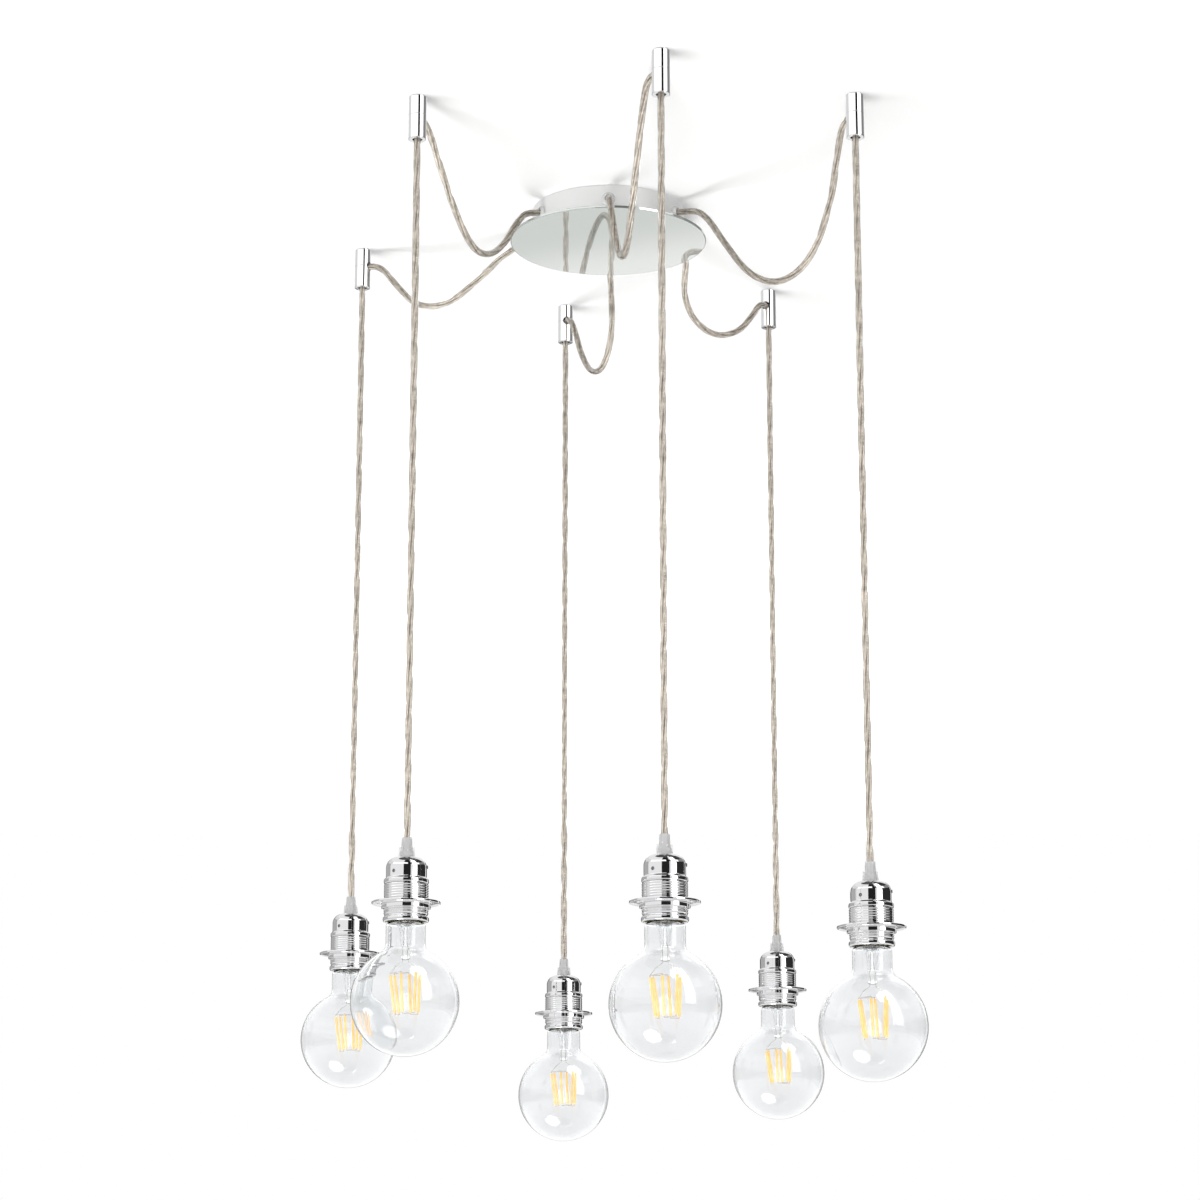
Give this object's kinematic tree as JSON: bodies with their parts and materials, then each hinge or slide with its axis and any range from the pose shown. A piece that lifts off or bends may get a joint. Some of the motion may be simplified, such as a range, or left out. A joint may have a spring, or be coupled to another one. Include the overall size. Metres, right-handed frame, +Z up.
{
  "type": "cluster pendant",
  "caption": "Ceiling rose with a mirror disc, swagged clear cords over ceiling retainers, and bare globe bulbs in chromed threaded holders.",
  "frame": {"origin": "middle of the ceiling face of the rose", "axes": "+Z up into the ceiling, -Y towards the viewer of the picture, +X to the viewer's right"},
  "size_m": [0.583, 0.804, 0.9215],
  "materials": {
    "rose_white": "satin white",
    "mirror_disc": "polished",
    "clear_plastic": "clear, glossy",
    "terminal_block": "matt",
    "chrome": "polished",
    "cord": "clear sheath over metallic taupe conductors",
    "ceramic": "glazed",
    "bulb_glass": "clear",
    "bulb_cap": "satin"
  },
  "bodies": {
    "root": {"rose_base": "rose_white", "rose_disc": "mirror_disc", "rose_glands": "clear_plastic", "rose_terminal_block": "terminal_block", "retainer_bases": "chrome", "retainer_barrels": "chrome", "cord_swag_1": "cord", "cord_swag_2": "cord", "cord_swag_3": "cord", "cord_swag_4": "cord", "cord_swag_5": "cord", "cord_swag_6": "cord"},
    "lamp_1": {"cord_drop_1": "cord", "cord_grip_1": "clear_plastic", "holder_cap_1": "chrome", "holder_shell_1": "chrome", "holder_insert_1": "ceramic"},
    "ring_1": {"shade_ring_1": "chrome"},
    "bulb_1": {"bulb_globe_1": "bulb_glass", "bulb_core_1": "bulb_cap"},
    "lamp_2": {"cord_drop_2": "cord", "cord_grip_2": "clear_plastic", "holder_cap_2": "chrome", "holder_shell_2": "chrome", "holder_insert_2": "ceramic"},
    "ring_2": {"shade_ring_2": "chrome"},
    "bulb_2": {"bulb_globe_2": "bulb_glass", "bulb_core_2": "bulb_cap"},
    "lamp_3": {"cord_drop_3": "cord", "cord_grip_3": "clear_plastic", "holder_cap_3": "chrome", "holder_shell_3": "chrome", "holder_insert_3": "ceramic"},
    "ring_3": {"shade_ring_3": "chrome"},
    "bulb_3": {"bulb_globe_3": "bulb_glass", "bulb_core_3": "bulb_cap"},
    "lamp_4": {"cord_drop_4": "cord", "cord_grip_4": "clear_plastic", "holder_cap_4": "chrome", "holder_shell_4": "chrome", "holder_insert_4": "ceramic"},
    "ring_4": {"shade_ring_4": "chrome"},
    "bulb_4": {"bulb_globe_4": "bulb_glass", "bulb_core_4": "bulb_cap"},
    "lamp_5": {"cord_drop_5": "cord", "cord_grip_5": "clear_plastic", "holder_cap_5": "chrome", "holder_shell_5": "chrome", "holder_insert_5": "ceramic"},
    "ring_5": {"shade_ring_5": "chrome"},
    "bulb_5": {"bulb_globe_5": "bulb_glass", "bulb_core_5": "bulb_cap"},
    "lamp_6": {"cord_drop_6": "cord", "cord_grip_6": "clear_plastic", "holder_cap_6": "chrome", "holder_shell_6": "chrome", "holder_insert_6": "ceramic"},
    "ring_6": {"shade_ring_6": "chrome"},
    "bulb_6": {"bulb_globe_6": "bulb_glass", "bulb_core_6": "bulb_cap"}
  },
  "joints": [
    {"name": "swing_1", "type": "hinge", "parent": "root", "child": "lamp_1", "pos_m": [-0.178, -0.302, -0.042], "axis": [1, 0, 0], "range_deg": [-12, 12]},
    {"name": "ring_turn_1", "type": "hinge", "parent": "lamp_1", "child": "ring_1", "pos_m": [-0.178, -0.302, -0.753], "axis": [0, 0, -1], "range_deg": [0, 1080]},
    {"name": "bulb_turn_1", "type": "hinge", "parent": "lamp_1", "child": "bulb_1", "pos_m": [-0.178, -0.302, -0.773], "axis": [0, 0, -1], "range_deg": [0, 1080]},
    {"name": "swing_2", "type": "hinge", "parent": "root", "child": "lamp_2", "pos_m": [0.046, -0.409, -0.042], "axis": [1, 0, 0], "range_deg": [-12, 12]},
    {"name": "ring_turn_2", "type": "hinge", "parent": "lamp_2", "child": "ring_2", "pos_m": [0.046, -0.409, -0.767], "axis": [0, 0, -1], "range_deg": [0, 1080]},
    {"name": "bulb_turn_2", "type": "hinge", "parent": "lamp_2", "child": "bulb_2", "pos_m": [0.046, -0.409, -0.787], "axis": [0, 0, -1], "range_deg": [0, 1080]},
    {"name": "swing_3", "type": "hinge", "parent": "root", "child": "lamp_3", "pos_m": [0.228, -0.307, -0.042], "axis": [1, 0, 0], "range_deg": [-12, 12]},
    {"name": "ring_turn_3", "type": "hinge", "parent": "lamp_3", "child": "ring_3", "pos_m": [0.228, -0.307, -0.775], "axis": [0, 0, -1], "range_deg": [0, 1080]},
    {"name": "bulb_turn_3", "type": "hinge", "parent": "lamp_3", "child": "bulb_3", "pos_m": [0.228, -0.307, -0.795], "axis": [0, 0, -1], "range_deg": [0, 1080]},
    {"name": "swing_4", "type": "hinge", "parent": "root", "child": "lamp_4", "pos_m": [0.177, 0.247, -0.042], "axis": [1, 0, 0], "range_deg": [-12, 12]},
    {"name": "ring_turn_4", "type": "hinge", "parent": "lamp_4", "child": "ring_4", "pos_m": [0.177, 0.247, -0.769], "axis": [0, 0, -1], "range_deg": [0, 1080]},
    {"name": "bulb_turn_4", "type": "hinge", "parent": "lamp_4", "child": "bulb_4", "pos_m": [0.177, 0.247, -0.789], "axis": [0, 0, -1], "range_deg": [0, 1080]},
    {"name": "swing_5", "type": "hinge", "parent": "root", "child": "lamp_5", "pos_m": [-0.047, 0.3, -0.042], "axis": [1, 0, 0], "range_deg": [-12, 12]},
    {"name": "ring_turn_5", "type": "hinge", "parent": "lamp_5", "child": "ring_5", "pos_m": [-0.047, 0.3, -0.788], "axis": [0, 0, -1], "range_deg": [0, 1080]},
    {"name": "bulb_turn_5", "type": "hinge", "parent": "lamp_5", "child": "bulb_5", "pos_m": [-0.047, 0.3, -0.808], "axis": [0, 0, -1], "range_deg": [0, 1080]},
    {"name": "swing_6", "type": "hinge", "parent": "root", "child": "lamp_6", "pos_m": [-0.26, 0.116, -0.042], "axis": [1, 0, 0], "range_deg": [-12, 12]},
    {"name": "ring_turn_6", "type": "hinge", "parent": "lamp_6", "child": "ring_6", "pos_m": [-0.26, 0.116, -0.747], "axis": [0, 0, -1], "range_deg": [0, 1080]},
    {"name": "bulb_turn_6", "type": "hinge", "parent": "lamp_6", "child": "bulb_6", "pos_m": [-0.26, 0.116, -0.767], "axis": [0, 0, -1], "range_deg": [0, 1080]}
  ]
}
